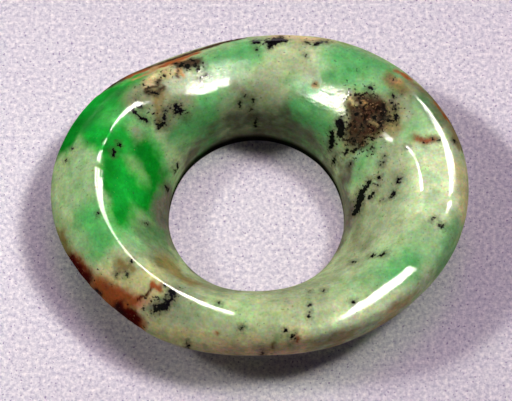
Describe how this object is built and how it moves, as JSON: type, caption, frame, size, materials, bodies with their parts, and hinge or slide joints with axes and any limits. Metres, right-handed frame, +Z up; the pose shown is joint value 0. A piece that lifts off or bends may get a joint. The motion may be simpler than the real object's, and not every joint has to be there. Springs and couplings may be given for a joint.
{
  "type": "stone earflare",
  "caption": "Oval ear ornament in polished green stone: a short round stem that passes through the earlobe, flaring to a broad rounded rim.",
  "frame": {"origin": "on the table under the middle of the oval outline, at the height of the stem's foot", "axes": "+X along the long way of the oval, +Z up out of the flare along the throat, -Z out of the stem's foot"},
  "size_m": [0.054, 0.0435, 0.0136],
  "materials": {
    "jade": "polished"
  },
  "bodies": {
    "root": {"flared_ring": "jade"}
  },
  "joints": []
}
